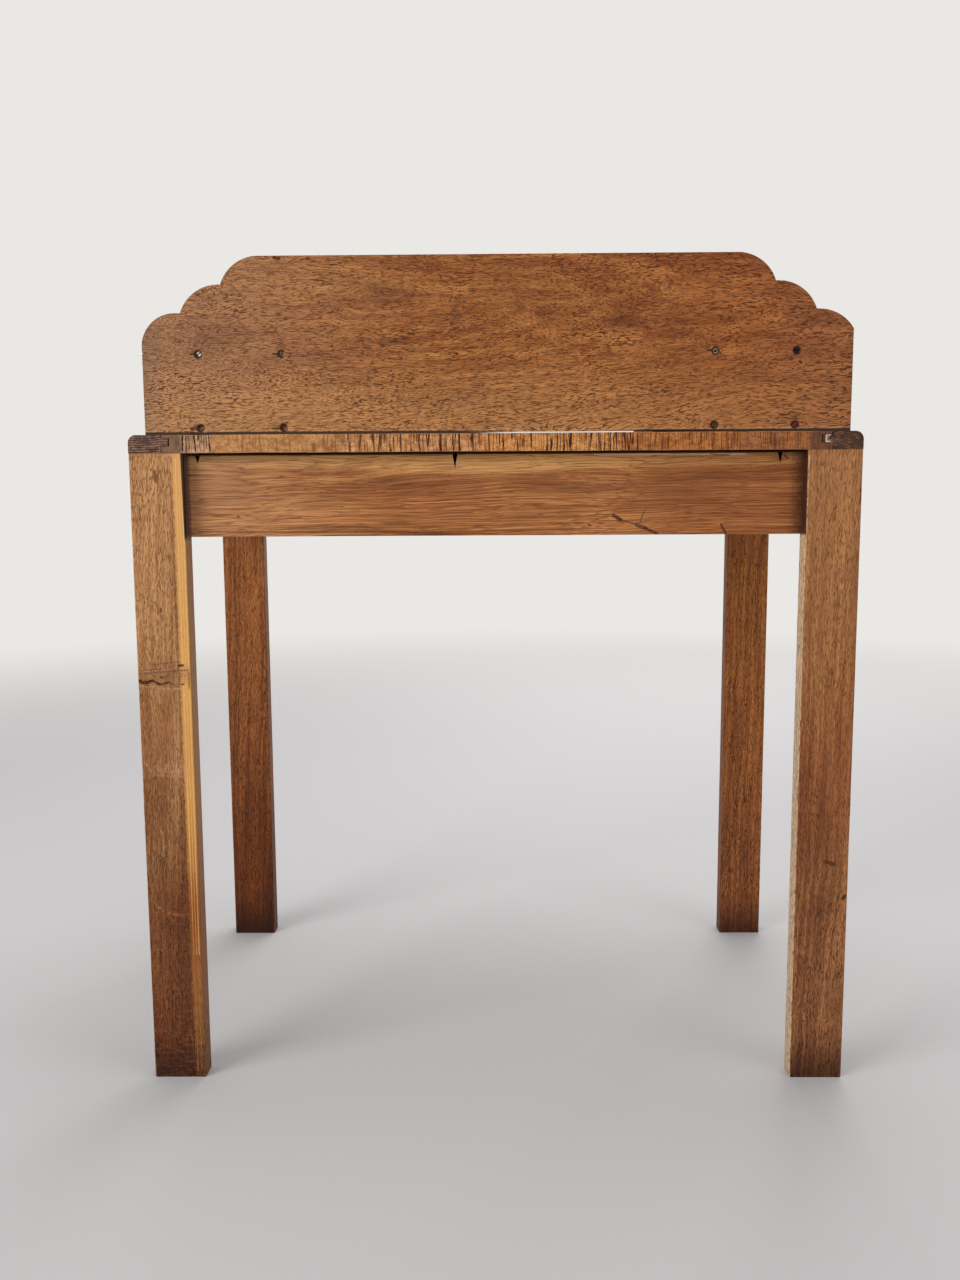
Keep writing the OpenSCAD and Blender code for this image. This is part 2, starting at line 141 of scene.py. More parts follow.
backdrop_colour = srgb(234, 232, 228)
room_colour = (1.0, 0.985, 0.965, 1.0)
room_strength = 0.5
floor_colour = srgb(196, 195, 198)
floor_rough = 0.75
floor_half = 9.0
fade_start = 1.5
fade_end = 4.0
floor_mesh = bmesh.new()
bmesh.ops.create_grid(floor_mesh, x_segments=2, y_segments=2, size=floor_half)
floor_data = bpy.data.meshes.new("floor")
floor_mesh.to_mesh(floor_data)
floor = bpy.data.objects.new("floor", floor_data)
scene.collection.objects.link(floor)
floor_look, tree = blank_look("pale floor")
away = length(tree, wire(tree, "TexCoord").outputs["Object"])
faded = times(tree, span(tree, away, fade_start, fade_end), seen_ray(tree))
paint = wire(tree, "BsdfPrincipled", {"Base Color": floor_colour, "Roughness": floor_rough})
plain = wire(tree, "Emission", {"Color": backdrop_colour, "Strength": 1.0})
both = wire(tree, "MixShader", {0: faded, 1: paint.outputs[0], 2: plain.outputs[0]})
wire(tree, "OutputMaterial", {"Surface": both.outputs[0]})
floor_data.materials.append(floor_look)

world = bpy.data.worlds.new("studio")
scene.world = world
world.use_nodes = True
tree = world.node_tree
tree.nodes.clear()
ambient = wire(tree, "Background", {"Color": room_colour, "Strength": room_strength})
shown = wire(tree, "Background", {"Color": backdrop_colour, "Strength": 1.0})
either = wire(tree, "MixShader", {0: seen_ray(tree), 1: ambient.outputs[0], 2: shown.outputs[0]})
wire(tree, "OutputWorld", {"Surface": either.outputs[0]})


# Soft studio light: a large window-like panel from the left behind the camera, a weaker one from
# the right, one overhead and one on the sitter's side. Surfaces that face left are the brightest.
def lamp(name, place, target, size, watts, colour):
    """a square panel of light that faces a target"""
    data = bpy.data.lights.new(name, "AREA")
    data.shape = "SQUARE"
    data.size = size
    data.energy = watts
    data.color = colour
    light = bpy.data.objects.new(name, data)
    scene.collection.objects.link(light)
    light.location = place
    light.rotation_euler = (Vector(target) - Vector(place)).to_track_quat("-Z", "Y").to_euler()


lamp("window", (-2.6, -2.2, 1.9), (0.0, 0.0, 0.6), 1.8, 66.0, (1.0, 0.98, 0.95))
lamp("fill", (2.4, -2.0, 1.6), (0.0, 0.0, 0.5), 1.6, 14.0, (1.0, 0.98, 0.95))
lamp("overhead", (0.3, 0.6, 3.0), (0.0, 0.0, 0.7), 2.2, 28.0, (1.0, 0.99, 0.98))
lamp("front", (0.8, 2.8, 1.8), (0.0, 0.0, 0.6), 1.8, 30.0, (1.0, 0.98, 0.96))


# The four legs are flat oak boards that stand on their end grain. Their long arrises are eased by
# hand, the long rails' ends are let into their inner faces, and painted shade darkens them towards the floor.
def group_tree(name, inputs, outputs):
    """a shader group with named sockets; inputs holds each name with its usual value"""
    tree = bpy.data.node_groups.new(name, "ShaderNodeTree")
    for label, value in inputs.items():
        kind = "NodeSocketFloat" if isinstance(value, float) else "NodeSocketVector"
        tree.interface.new_socket(name=label, in_out="INPUT", socket_type=kind).default_value = value
    for label in outputs:
        tree.interface.new_socket(name=label, in_out="OUTPUT", socket_type="NodeSocketFloat")
    return tree, tree.nodes.new("NodeGroupInput").outputs, tree.nodes.new("NodeGroupOutput").inputs


def cloud(tree, place, scale, detail=2.0, rough=0.5):
    """soft noise in features of about 1 over scale: its value and its three-part colour"""
    stretched = vector(tree, "MULTIPLY", place, scale)
    node = wire(tree, "TexNoise", {"Vector": stretched, "Scale": 1.0, "Detail": detail, "Roughness": rough})
    return node.outputs["Fac"], node.outputs["Color"]


def sway(tree, place, scale, reach):
    """a place bent across the grain by soft noise, by up to about half of reach"""
    bend = vector(tree, "SUBTRACT", cloud(tree, place, scale)[1], (0.5, 0.5, 0.5))
    if isinstance(reach, bpy.types.NodeSocket):
        reach = wire(tree, "CombineXYZ", {"Y": reach, "Z": reach}).outputs[0]
    return vector(tree, "ADD", place, vector(tree, "MULTIPLY", bend, reach))


origin = (0.0, 0.0, 0.0)


def oak_figure():
    """the figure of oak as a solid pattern in millimetres: X along the grain, Y and Z across it.
    The rings lie round a pith that may lean, and the vessels run along the rings."""
    inputs = {
        "Place": origin, "Pith": origin, "Lean": origin, "Arc": 200.0, "Ring Width": 3.0, "Ring Show": 0.08,
        "Wander": 6.0, "Ripple": 3.0, "Streak Width": 4.0, "Vessel Length": 16.0, "Vessel Width": 2.8,
    }
    names = ["Tone", "Late", "Strokes", "Dashes", "Glints", "Rays"]
    tree, given, result = group_tree("oak figure", inputs, names)
    # the board is bent a little, and the rings lie round the pith
    bent = sway(tree, given["Place"], (0.0042, 0.013, 0.013), given["Wander"])
    bent = sway(tree, bent, (0.026, 0.05, 0.05), given["Ripple"])
    along = wire(tree, "SeparateXYZ", {0: bent}).outputs["X"]
    lean = wire(tree, "VectorMath", {0: given["Lean"], "Scale": along}, operation="SCALE").outputs[0]
    out = vector(tree, "SUBTRACT", vector(tree, "SUBTRACT", bent, given["Pith"]), lean)
    out = vector(tree, "MULTIPLY", out, (0.0, 1.0, 1.0))
    radius = length(tree, out)
    parts = wire(tree, "SeparateXYZ", {0: out}).outputs
    turn = times(tree, calc(tree, "ARCTAN2", parts["Z"], parts["Y"]), given["Arc"])
    ring = wire(tree, "CombineXYZ", {"X": along, "Y": radius, "Z": turn}).outputs[0]

    # in each ring the late wood darkens slowly and ends at once; streaks and bands give the tone
    phase = calc(tree, "FRACT", calc(tree, "DIVIDE", radius, given["Ring Width"]))
    fall = flip(tree, span(tree, phase, 0.85, 1.0))
    late = times(tree, span(tree, phase, 0.05, 0.85), fall)
    thin = calc(tree, "DIVIDE", 1.0, given["Streak Width"])
    streak_scale = wire(tree, "CombineXYZ", {"X": 0.0036, "Y": thin, "Z": times(tree, thin, 0.6)})
    streaks = cloud(tree, ring, streak_scale.outputs[0], 3.0, 0.6)[0]
    broad = cloud(tree, ring, (0.0045, 0.035, 0.02), 2.0)[0]
    tone = calc(tree, "ADD", times(tree, streaks, 0.65), times(tree, broad, 0.35))

    # the vessels are thin strokes along the rings, broken up, with dashes, glints and rays
    fine = calc(tree, "DIVIDE", 1.0, given["Vessel Width"])
    run = calc(tree, "DIVIDE", 1.0, given["Vessel Length"])
    stroke_scale = wire(tree, "CombineXYZ", {"X": run, "Y": fine, "Z": fine}).outputs[0]
    veins = calc(tree, "ABSOLUTE", calc(tree, "SUBTRACT", cloud(tree, ring, stroke_scale, 1.0, 0.4)[0], 0.5))
    veins = flip(tree, span(tree, veins, 0.02, 0.09))
    early = times(tree, calc(tree, "SUBTRACT", 0.5, late), given["Ring Show"])
    apart = vector(tree, "ADD", ring, (313.0, 71.0, 157.0))
    broken = cloud(tree, apart, vector(tree, "MULTIPLY", stroke_scale, (2.4, 1.2, 1.2)), 1.0, 0.4)[0]
    strokes = times(tree, veins, span(tree, calc(tree, "ADD", broken, early), 0.32, 0.46))
    dashes = cloud(tree, ring, vector(tree, "MULTIPLY", stroke_scale, (4.0, 2.6, 2.6)), 1.0, 0.4)[0]
    glints = cloud(tree, apart, vector(tree, "MULTIPLY", stroke_scale, (1.4, 1.8, 1.8)), 1.0, 0.4)[0]
    fleck_place = wire(tree, "CombineXYZ", {"X": along, "Y": turn, "Z": radius}).outputs[0]
    rays = cloud(tree, fleck_place, (0.06, 0.5, 0.03), 2.0)[0]
    masks = {
        "Tone": span(tree, tone, 0.34, 0.66), "Late": late, "Strokes": strokes,
        "Dashes": span(tree, dashes, 0.55, 0.66), "Glints": span(tree, glints, 0.54, 0.66),
        "Rays": span(tree, rays, 0.6, 0.7),
    }
    for label, mask in masks.items():
        tree.links.new(mask, result[label])
    return tree


def scratch_mark():
    """a mark along a line between two places, with a ragged soft edge"""
    inputs = {"Place": origin, "Start": origin, "End": origin, "Width": 1.0, "Rough": 0.0, "Soft": 0.5}
    tree, given, result = group_tree("scratch mark", inputs, ["Mask"])
    run = vector(tree, "SUBTRACT", given["End"], given["Start"])
    away = vector(tree, "SUBTRACT", given["Place"], given["Start"])
    dots = [
        wire(tree, "VectorMath", {0: first, 1: run}, operation="DOT_PRODUCT").outputs["Value"]
        for first in (away, run)
    ]
    share = calc(tree, "MINIMUM", calc(tree, "MAXIMUM", calc(tree, "DIVIDE", *dots), 0.0), 1.0)
    nearest = wire(tree, "VectorMath", {0: run, "Scale": share}, operation="SCALE").outputs[0]
    far = calc(tree, "DIVIDE", length(tree, vector(tree, "SUBTRACT", away, nearest)), given["Width"])
    far = calc(tree, "ADD", far, given["Rough"])
    mask = flip(tree, span(tree, far, flip(tree, given["Soft"]), 1.0))
    tree.links.new(mask, result["Mask"])
    return tree


def patch_mark():
    """an oval patch round a place, with a ragged soft edge"""
    inputs = {"Place": origin, "Centre": origin, "Reach": (5.0, 5.0, 5.0), "Rough": 0.0, "Soft": 0.5}
    tree, given, result = group_tree("patch mark", inputs, ["Mask"])
    out = vector(tree, "DIVIDE", vector(tree, "SUBTRACT", given["Place"], given["Centre"]), given["Reach"])
    far = calc(tree, "ADD", length(tree, out), given["Rough"])
    mask = flip(tree, span(tree, far, flip(tree, given["Soft"]), 1.0))
    tree.links.new(mask, result["Mask"])
    return tree


def use_group(tree, group, inputs):
    """adds a shader group and gives its outputs"""
    return wire(tree, "Group", inputs, node_tree=group).outputs


def tint(tree, factor, first, second, mode="MIX"):
    """mixes two colours"""
    node = wire(tree, "Mix", {0: factor, 6: first, 7: second}, data_type="RGBA", blend_type=mode)
    return node.outputs[2]


figure_group = oak_figure()
scratch_group = scratch_mark()
patch_group = patch_mark()
mm_per_m = 1000.0
board_apart = 997.0
# for grain along each axis: that axis, and the two across it
grain_axes = {"x": ("X", "Z", "Y"), "y": ("Y", "X", "Z"), "z": ("Z", "X", "Y")}


def in_mm(tree, coords):
    """the object's own coordinates in millimetres"""
    return vector(tree, "MULTIPLY", coords["Object"], (mm_per_m, mm_per_m, mm_per_m))


class Oak:
    """an oak finish in the making: colour and height grow as marks are added, and close() ends it.
    tones are light, middle, dark and vessel colours; centre is the piece's middle across the grain,
    and the pith lies pith_far from it, at pith_turn degrees. face is the Y of the marked surface"""

    face = -240.0

    def __init__(self, name, grain, tones, centre, pith_far, pith_turn, ring=3.0, ring_show=0.08,
                 wander=10.0, ripple=3.0, lean=(0.0, 0.0), streak=4.0, vessel=(20.0, 2.3), strokes=0.8,
                 dashes=0.3, glints=0.3, late=0.15, rays=0.15, shift=0.0):
        self.light, middle, dark, self.deep = [srgb(*tone) for tone in tones]
        self.material, self.tree = blank_look(name)
        tree = self.tree
        self.coords = wire(tree, "TexCoord").outputs
        self.place = in_mm(tree, self.coords)
        self.parts = wire(tree, "SeparateXYZ", {0: self.place}).outputs
        a, b, c = grain_axes[grain]
        board = wire(tree, "CombineXYZ", {
            "X": self.plus(self.parts[a], shift * board_apart), "Y": self.parts[b], "Z": self.parts[c],
        }).outputs[0]
        angle = math.radians(pith_turn)
        pith = Vector((0.0, centre[0] + pith_far * math.cos(angle), centre[1] + pith_far * math.sin(angle)))
        start = Vector((0.0, *lean)) * shift * board_apart
        figure = use_group(tree, figure_group, {
            "Place": board, "Pith": pith - start, "Lean": (0.0, *lean), "Arc": pith_far, "Ring Width": ring,
            "Ring Show": ring_show, "Wander": wander, "Ripple": ripple, "Streak Width": streak,
            "Vessel Length": vessel[0], "Vessel Width": vessel[1],
        })
        tone = calc(tree, "SUBTRACT", figure["Tone"], self.times(figure["Late"], late))
        tone = self.plus(tone, late * 0.5)
        ramp = wire(tree, "ValToRGB", {"Fac": tone})
        ramp.color_ramp.elements[0].color = dark
        ramp.color_ramp.elements[1].color = self.light
        ramp.color_ramp.elements.new(0.5).color = middle
        self.colour = ramp.outputs["Color"]
        mottle = cloud(tree, self.place, (0.018, 0.018, 0.018), 3.0, 0.6)[0]
        self.ragged = calc(tree, "SUBTRACT", cloud(tree, self.place, (0.3, 0.3, 0.3), 2.0)[0], 0.5)
        shade = self.plus(0.8, self.times(mottle, 0.4))
        grey = wire(tree, "CombineColor", {0: shade, 1: shade, 2: shade}).outputs[0]
        self.colour = tint(tree, 1.0, self.colour, grey, "MULTIPLY")
        self.mix(self.times(figure["Glints"], glints), self.light)
        self.mix(self.times(figure["Rays"], rays), self.light)
        pores = self.times(figure["Strokes"], self.plus(0.5, mottle), strokes)
        self.pores = calc(tree, "MAXIMUM", pores, self.times(figure["Dashes"], dashes))
        self.height = self.times(self.pores, -0.8)

    def times(self, *values):
        return times(self.tree, *values)

    def plus(self, first, second):
        return calc(self.tree, "ADD", first, second)

    def measure(self, where):
        """a place along the desk's X, Y or Z, or a value as it is"""
        return self.parts[where] if isinstance(where, str) else where

    def rise(self, where, low, high):
        """0 to 1 between two places or values"""
        return span(self.tree, self.measure(where), low, high)

    def fall(self, where, low, high):
        """1 to 0 between two places or values"""
        return flip(self.tree, self.rise(where, low, high))

    def wavy(self, where, reach):
        """a place or value that small noise moves to and fro"""
        return self.plus(self.measure(where), self.times(self.ragged, reach))

    def mix(self, share, colour):
        self.colour = tint(self.tree, share, self.colour, colour)

    def wash(self, mask, share, tone):
        """lays a tone over the wood where the mask is"""
        self.mix(self.times(mask, share), srgb(*tone))

    def stain(self, share, tone):
        """tints the wood through, as damp and dirt do"""
        self.colour = tint(self.tree, share, self.colour, srgb(*tone), "MULTIPLY")

    def sink(self, mask, deep):
        self.height = calc(self.tree, "SUBTRACT", self.height, self.times(mask, deep))

    def scratch(self, start, end, width, tone, share=1.0, deep=0.0, ragged=0.6, soft=0.5):
        """a line between two places on the face, each given as X and Z"""
        mask = use_group(self.tree, scratch_group, {
            "Place": self.place, "Start": (start[0], self.face, start[1]), "End": (end[0], self.face, end[1]),
            "Width": width, "Rough": self.times(self.ragged, ragged * 2.0), "Soft": soft,
        })["Mask"]
        self.wash(mask, share, tone)
        if deep:
            self.sink(mask, deep)

    def marks(self, rows, tone, share=1.0, **style):
        """scratches of one tone; a row holds start, end and width, and its own share if it has one"""
        for start, end, width, *own in rows:
            self.scratch(start, end, width, tone, *(own or [share]), **style)

    def patch(self, centre, reach, ragged=0.3, soft=0.6):
        """the mask of an oval patch round a place on the face, given as X and Z"""
        return use_group(self.tree, patch_group, {
            "Place": self.place, "Centre": (centre[0], self.face, centre[1]), "Reach": reach,
            "Rough": self.times(self.ragged, ragged * 2.0), "Soft": soft,
        })["Mask"]

    def cut_pores(self):
        self.colour = tint(self.tree, self.pores, self.colour, self.deep)

    def arris(self):
        """1 on the eased arrises"""
        return wire(self.tree, "Attribute", attribute_name="arris").outputs["Fac"]

    def wear(self, share, tone=(206, 162, 116)):
        """rubs the eased arrises pale"""
        self.wash(self.arris(), share, tone)
        return self

    def close(self, sheen=0.22, cut=True):
        """the open vessels, and then the surface itself"""
        tree = self.tree
        if cut:
            self.cut_pores()
        bump = wire(tree, "Bump", {"Height": self.height, "Distance": 0.0004, "Strength": 0.5})
        rough = self.plus(0.55, self.times(self.pores, 0.25))
        surface = wire(tree, "BsdfPrincipled", {
            "Base Color": self.colour, "Roughness": rough, "Normal": bump.outputs[0],
            "Specular IOR Level": sheen,
        })
        wire(tree, "OutputMaterial", {"Surface": surface.outputs[0]})
        return self.material


def mend_folds(shape):
    """joins each face that the easing has folded over with its flat neighbours"""
    sliver = 2e-9
    flat = 0.999
    for turn in range(3):
        shape.normal_update()
        folded = {}
        for loops in shape.calc_loop_triangles():
            a, b, c = [loop.vert.co for loop in loops]
            normal = (b - a).cross(c - a)
            if normal.length > sliver and normal.dot(loops[0].face.normal) < 0.0:
                folded[loops[0].face] = True
        if not folded:
            return
        region = dict(folded)
        for face in folded:
            for edge in face.edges:
                for other in edge.link_faces:
                    if other.normal.dot(face.normal) > flat:
                        region[other] = True
        bmesh.ops.dissolve_faces(shape, faces=list(region), use_verts=False)


def split_wide(shape):
    """cuts the faces that have more than four corners into triangles"""
    wide = [face for face in shape.faces if len(face.verts) > 4]
    bmesh.ops.triangulate(shape, faces=wide, ngon_method="EAR_CLIP")


def cut_across(shape, axis, place, geom):
    """cuts a shape along a plane that is square to an axis"""
    point, normal = Vector(origin), Vector(origin)
    point[axis] = place
    normal[axis] = 1.0
    bmesh.ops.bisect_plane(shape, geom=geom, plane_co=point, plane_no=normal)


def worked(name, node, look, arris, cuts=(), spare=(), only=None, after=None, under=None, body="desk"):
    """a piece as the bench leaves it: the solid's shape with its sharp arrises eased, cut across
    every so often, and every corner moved a hair, so that no edge is dead straight. cuts holds an
    axis and a pitch, spare holds places and radii round which the arrises stay sharp, only picks
    the arrises that are eased, after works on the finished shape, and under is the underside's look"""
    weld = 1e-6
    level_turn = math.radians(1.0)
    sharp_turn = math.radians(32)
    shown_turn = math.radians(28)
    least_band = 0.001
    hair = 2e-5
    dent = 0.0002
    broad_dents, fine_dents, fine_share = 23.0, 90.0, 0.6
    arris_push, flat_push = 1.6, 0.6
    downward = -0.7
    low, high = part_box(node)
    shape = bmesh.new()
    shape.from_mesh(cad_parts[node].data)
    bmesh.ops.remove_doubles(shape, verts=shape.verts, dist=weld)
    bmesh.ops.dissolve_limit(shape, angle_limit=level_turn, verts=shape.verts, edges=shape.edges)
    for axis, pitch in cuts:
        parts = max(1, round((high[axis] - low[axis]) / pitch))
        for step in range(1, parts):
            place = low[axis] + (high[axis] - low[axis]) * step / parts
            cut_across(shape, axis, place, shape.verts[:] + shape.edges[:] + shape.faces[:])
    sharp = []
    for edge in shape.edges:
        middle = (edge.verts[0].co + edge.verts[1].co) / 2
        near = any((middle - Vector(place)).length < reach for place, reach in spare)
        chosen = only is None or only(edge, middle)
        if edge.is_manifold and edge.calc_face_angle() > sharp_turn and chosen and not near:
            sharp.append(edge)
    if arris and sharp:
        bmesh.ops.bevel(
            shape, geom=sharp, offset=arris, affect="EDGES", segments=3, profile=0.5,
            material=-1, clamp_overlap=True,
        )
    mend_folds(shape)
    split_wide(shape)
    layer = shape.verts.layers.float.new("arris")
    for vert in shape.verts:
        gaps = [min(vert.co[i] - low[i], high[i] - vert.co[i]) for i in range(3)]
        vert[layer] = 1.0 if min(gaps) > hair and sorted(gaps)[1] < max(arris, least_band) else 0.0
        push = noise.noise_vector(vert.co * broad_dents) * dent
        push += noise.noise_vector(vert.co * fine_dents) * dent * fine_share
        vert.co += push * (arris_push if vert[layer] else flat_push)
    if after:
        after(shape)
        split_wide(shape)
    for vert in shape.verts:
        vert.co = Vector([min(max(vert.co[i], low[i]), high[i]) for i in range(3)])
    data = bpy.data.meshes.new(name)
    shape.to_mesh(data)
    shape.free()
    piece = bpy.data.objects.new(name, data)
    scene.collection.objects.link(piece)
    data.materials.append(look)
    if under:
        data.materials.append(under)
        for polygon in data.polygons:
            polygon.material_index = 1 if polygon.normal.z < downward else 0
    data.shade_smooth()
    data.set_sharp_from_angle(angle=shown_turn)
    weighted = piece.modifiers.new("flat faces stay flat", "WEIGHTED_NORMAL")
    weighted.keep_sharp = True
    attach(piece, body)
    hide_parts(node)
    return piece


# the near-black of painted shade in recesses and gaps
painted_shade_tone = (24, 13, 8)
rail_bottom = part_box("rail_back")[0].z * mm_per_m
leg_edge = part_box("leg_back_left")[1].x * mm_per_m


def leg_finish(name, side, back, tones, pith_far, pith_turn, shift, floor_shade_tone):
    """upright grain, with painted shade that darkens the wood and its vessels towards the floor"""
    centre = (side * 371.0, -226.5 if back else 226.5)
    oak = Oak(name, "z", tones, centre, pith_far, pith_turn, ring=2.6, ring_show=0.1, wander=16.0, ripple=4.5,
              lean=(0.03, 0.02), vessel=(14.0, 1.2), late=0.2, rays=0.3, shift=shift)
    # painted shade: the leg darkens towards the floor, and most in its lowest 70 mm
    painted_floor_shade = oak.fall("Z", 0.0, 570.0)
    oak.stain(painted_floor_shade, floor_shade_tone)
    oak.deep = tint(oak.tree, painted_floor_shade, oak.deep, srgb(24, 10, 4))
    oak.stain(oak.fall("Z", 0.0, 70.0), (146, 132, 120))
    return oak


def finish_inside(oak, side, tone, share, painted_shade_share=0.95):
    """the side that faces the desk's middle: a tone that stands in for its light and shade, and near-black
    painted shade beside the rail
    """
    inner = oak.rise(oak.times(oak.parts["X"], -side), leg_edge - 0.9, leg_edge - 0.4)
    beside = (rail_bottom - 2.0, rail_bottom + 2.0)
    oak.wash(oak.times(inner, oak.fall("Z", *beside)), share, tone)
    oak.wash(oak.times(inner, oak.rise("Z", *beside)), painted_shade_share, painted_shade_tone)


near_left = leg_finish(
    "oak leg back left", -1, True, [(210, 160, 106), (184, 130, 82), (152, 98, 56), (100, 56, 26)],
    240, 160, 1.3, (154, 111, 80),
)
# pale sapwood runs up the inner edge
sapwood = near_left.rise(near_left.wavy("X", 4), -353.6, -350.4)
sapwood = near_left.times(sapwood, near_left.rise("Z", -40, 220))
near_left.wash(sapwood, 0.85, (226, 164, 82))
near_left.pores = near_left.times(near_left.pores, flip(near_left.tree, near_left.times(sapwood, 0.85)))
near_left.stain(near_left.times(sapwood, near_left.fall("Z", 160, 380)), (184, 134, 104))
for x, width, share in ((-348.6, 0.9, 0.6), (-345.6, 0.7, 0.5), (-342.4, 0.9, 0.65)):
    near_left.scratch((x, 716), (x - 0.6, 150), width, (246, 200, 126), share, ragged=0.7, soft=0.7)
for x, width in ((-349, 0.9), (-344.4, 1)):
    near_left.scratch((x, 190), (x - 0.4, 8), width, (176, 118, 70), 0.6, ragged=0.8, soft=0.8)
# painted light: the upper part of the leg is washed paler
near_left.wash(near_left.rise("Z", 400, 660), 0.3, (222, 168, 116))
near_left.scratch((-354.4, 700), (-354, 20), 1.6, (120, 72, 38), 0.4, soft=0.8)
near_left.scratch((-371.4, 702), (-371.2, 692), 2.6, (104, 60, 34), 0.75, deep=0.5)
near_left.scratch((-370.9, 552), (-370.9, 548), 1.3, (70, 36, 20), 0.9, deep=0.5)
# the dried knot is a darker band with cracks across it; below it the face is scuffed pale
near_left.wash(near_left.patch((-371, 477), (60, 30, 17), 0.15, 0.7), 0.45, (150, 104, 72))
near_left.marks([
    ((-401, 470.5), (-391, 468), 2.5, 1), ((-391, 468), (-384, 470.6), 1.7, 1),
    ((-384, 470.6), (-376, 466), 1.7, 0.9), ((-376, 466), (-365, 468.4), 1.3, 0.85),
    ((-365, 468.4), (-356, 463.2), 0.9, 0.7), ((-351, 466.4), (-348.6, 466.6), 1.1, 0.9),
    ((-353.5, 487), (-349, 487.8), 1.6, 0.9), ((-375, 475), (-373, 474.4), 1.3, 0.9),
    ((-369.5, 475), (-368.6, 475), 1, 0.8), ((-342.6, 480), (-342.6, 462), 0.9, 0.6),
], (42, 22, 14), deep=1.5, ragged=0.8, soft=0.35)
near_left.marks([
    ((-401, 478), (-343, 482.5), 1), ((-401, 482), (-372, 484), 0.7),
    ((-385, 488.5), (-352, 492), 0.7), ((-380, 472.5), (-346, 476), 0.6),
], (96, 58, 40), 0.6, deep=0.5, ragged=1.2, soft=0.7)
near_left.marks([
    ((-401, 464.5), (-382, 463.5), 1.8), ((-382, 462.5), (-343, 460.5), 1.4),
    ((-401, 480), (-343, 485), 0.8), ((-397, 378), (-386, 362), 1.6),
    ((-386, 362), (-350, 360), 1.8), ((-350, 360), (-348, 378), 1.4),
    ((-379, 364), (-372, 374), 1.2), ((-366, 364), (-354, 380), 1.2),
    ((-380.5, 297), (-379, 284), 1.6), ((-379, 284), (-380, 268), 1.8),
    ((-352, 262), (-345, 258), 2.2), ((-350, 251), (-344, 249), 1.8),
    ((-394, 214), (-384, 203), 2.4), ((-378, 199), (-360, 197), 2.6),
    ((-352, 572), (-342, 571), 1.2), ((-352, 560), (-342, 559), 1.2),
], (206, 156, 114), 0.5, ragged=1.3, soft=0.8)
near_left.marks([
    ((-399, 100), (-352, 104), 0.9), ((-396, 62), (-376, 50), 0.9),
    ((-376, 50), (-352, 46), 1), ((-390, 40), (-366, 30), 0.8),
    ((-394, 132), (-372, 126), 0.8),
], (146, 100, 70), 0.4, ragged=1, soft=0.8)
near_left.stain(near_left.patch((-371, 196), (80, 50, 80), 0.15, 0.9), (226, 208, 188))
near_left.wash(near_left.patch((-371, 395), (80, 50, 66), 0.2, 0.9), 0.3, (190, 132, 88))
flecks = near_left.rise(cloud(near_left.tree, near_left.place, (0.11, 0.11, 0.7), 3, 0.6)[0], 0.5, 0.64)
near_left.wash(near_left.times(flecks, near_left.fall("Z", 60, 460)), 0.2, (176, 120, 82))
near_left.wash(near_left.patch((-367, 369), (24, 30, 9), 0.3, 0.6), 0.45, (212, 158, 118))
near_left.scratch((-401, 26), (-396, 26.5), 2.2, (34, 18, 12), 1, deep=1)
near_left.wear(0.25)
# painted shade: the inner face, turned away from the window, is washed dark
finish_inside(near_left, -1, (126, 80, 42), 0.75)
# painted shade: the inner arris beside the rail is washed near black, and greyer further into the side
painted_edge_shade = near_left.plus(near_left.parts["X"], near_left.times(near_left.parts["Z"], 0.0152))
painted_edge_shade = near_left.times(near_left.rise(painted_edge_shade, -332.4, -331.8), near_left.rise("Z", 624, 632))
near_left.wash(painted_edge_shade, 0.95, (20, 10, 7))
near_left.wash(near_left.times(near_left.rise("Y", -237, -233), painted_edge_shade), 0.75, (104, 74, 64))

near_right = leg_finish(
    "oak leg back right", 1, True, [(192, 134, 82), (164, 108, 62), (134, 80, 42), (104, 58, 28)],
    420, 10, 2.9, (241, 231, 241),
)
# painted light: the upper part of the leg is washed paler
near_right.wash(near_right.rise("Z", 440, 640), 0.35, (204, 146, 96))
near_right.stain(near_right.patch((371, 350), (90, 60, 150), 0.1, 0.9), (234, 214, 210))
near_right.scratch((370, 657.6), (373, 660.4), 1.5, (92, 48, 26), 0.75, deep=0.5)
near_right.scratch((399.2, 679), (399.2, 667), 1.4, (52, 28, 18), 0.9, deep=1)
near_right.scratch((374.6, 260), (383, 256.5), 2.8, (72, 36, 20), 0.8, deep=0.6)
near_right.scratch((397, 219), (395, 216), 2.4, (38, 20, 12), 0.9, deep=1)
near_right.wash(near_right.patch((366, 205), (26, 30, 22), 0.4, 0.9), 0.35, (96, 52, 34))
# painted highlight: a pale line down the lit inner arris beside the rail
for start, end, width in ((716, 694, 1.7), (690, 668, 1.2), (664, 610, 1)):
    near_right.scratch((341.2, start), (341, end), width, (222, 178, 136), 0.7, ragged=1)
near_right.wear(0.25)
# painted light: the inner face, turned to the window, is washed pale
finish_inside(near_right, 1, (230, 198, 160), 0.85)

# the front legs' tones are darker than the back legs': painted shade, as less window light reaches them
far_left = leg_finish(
    "oak leg front left", -1, False, [(190, 120, 64), (160, 96, 48), (126, 70, 32), (68, 33, 12)],
    520, 200, 4.1, (170, 139, 95),
)
far_right = leg_finish(
    "oak leg front right", 1, False, [(206, 130, 66), (172, 104, 51), (136, 77, 35), (72, 36, 12)],
    360, -30, 5.7, (216, 209, 218),
)
far_right.face = 213
far_right.scratch((374.4, 210), (374.4, 205), 1.8, (40, 22, 14), 0.9, deep=0.5)
# the front legs' inner faces get a darker tone and mild near-black painted shade beside the rail
for side, oak in ((-1, far_left), (1, far_right)):
    oak.wear(0.2, (180, 134, 90))
    finish_inside(oak, side, (118, 78, 46), 0.3, painted_shade_share=0.3)


